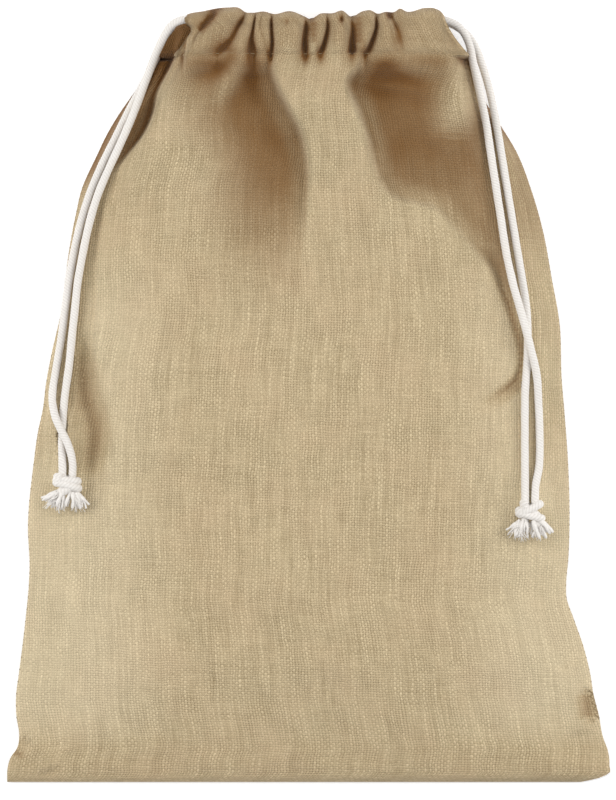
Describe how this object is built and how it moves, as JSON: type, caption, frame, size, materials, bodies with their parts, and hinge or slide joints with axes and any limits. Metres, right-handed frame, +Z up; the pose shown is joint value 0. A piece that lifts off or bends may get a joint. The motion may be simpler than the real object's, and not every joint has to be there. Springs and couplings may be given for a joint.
{
  "type": "drawstring pouch",
  "caption": "Hessian cloth pouch lying on its back, its mouth gathered by a pair of cotton drawcords that leave at opposite sides and end in knots.",
  "frame": {"origin": "middle of the pouch's width and length, on the surface that it lies on", "axes": "+X across the pouch, +Y along it to the drawn-in mouth, +Z up through the front panel"},
  "size_m": [0.3, 0.386, 0.0384],
  "materials": {
    "hessian": "matte woven jute",
    "cotton_cord": "matte braided cotton",
    "sewing_thread": "matte thread"
  },
  "bodies": {
    "pouch": {"back_panel": "hessian", "front_panel": "hessian", "left_side_seam": "sewing_thread", "right_side_seam": "sewing_thread", "bottom_seam": "sewing_thread", "back_casing": "hessian", "front_casing": "hessian", "back_casing_stitching": "sewing_thread", "front_casing_stitching": "sewing_thread"},
    "left_gather": {"front_casing_left_end": "hessian", "back_casing_left_end": "hessian"},
    "right_gather": {"front_casing_right_end": "hessian", "back_casing_right_end": "hessian"},
    "left_drawcord": {"left_cord_front_run": "cotton_cord", "left_cord_back_run": "cotton_cord", "left_cord_crossover": "cotton_cord", "left_tail_front_strand": "cotton_cord", "left_tail_back_strand": "cotton_cord", "left_knot": "cotton_cord", "left_frayed_ends": "cotton_cord"},
    "right_drawcord": {"right_cord_front_run": "cotton_cord", "right_cord_back_run": "cotton_cord", "right_cord_crossover": "cotton_cord", "right_tail_front_strand": "cotton_cord", "right_tail_back_strand": "cotton_cord", "right_knot": "cotton_cord", "right_frayed_ends": "cotton_cord"}
  },
  "joints": [
    {"name": "left_cord_pull", "type": "slide", "parent": "pouch", "child": "left_drawcord", "axis": [-1, 0, 0], "range_m": [0, 0.023]},
    {"name": "right_cord_pull", "type": "slide", "parent": "pouch", "child": "right_drawcord", "axis": [1, 0, 0], "range_m": [0, 0.023]},
    {"name": "left_mouth_gather", "type": "slide", "parent": "pouch", "child": "left_gather", "axis": [1, 0, 0], "range_m": [0, 0.023]},
    {"name": "right_mouth_gather", "type": "slide", "parent": "pouch", "child": "right_gather", "axis": [-1, 0, 0], "range_m": [0, 0.023]}
  ],
  "couplings": [
    {"joint": "right_mouth_gather", "follows": "left_cord_pull", "ratio": 1},
    {"joint": "left_mouth_gather", "follows": "right_cord_pull", "ratio": 1}
  ]
}
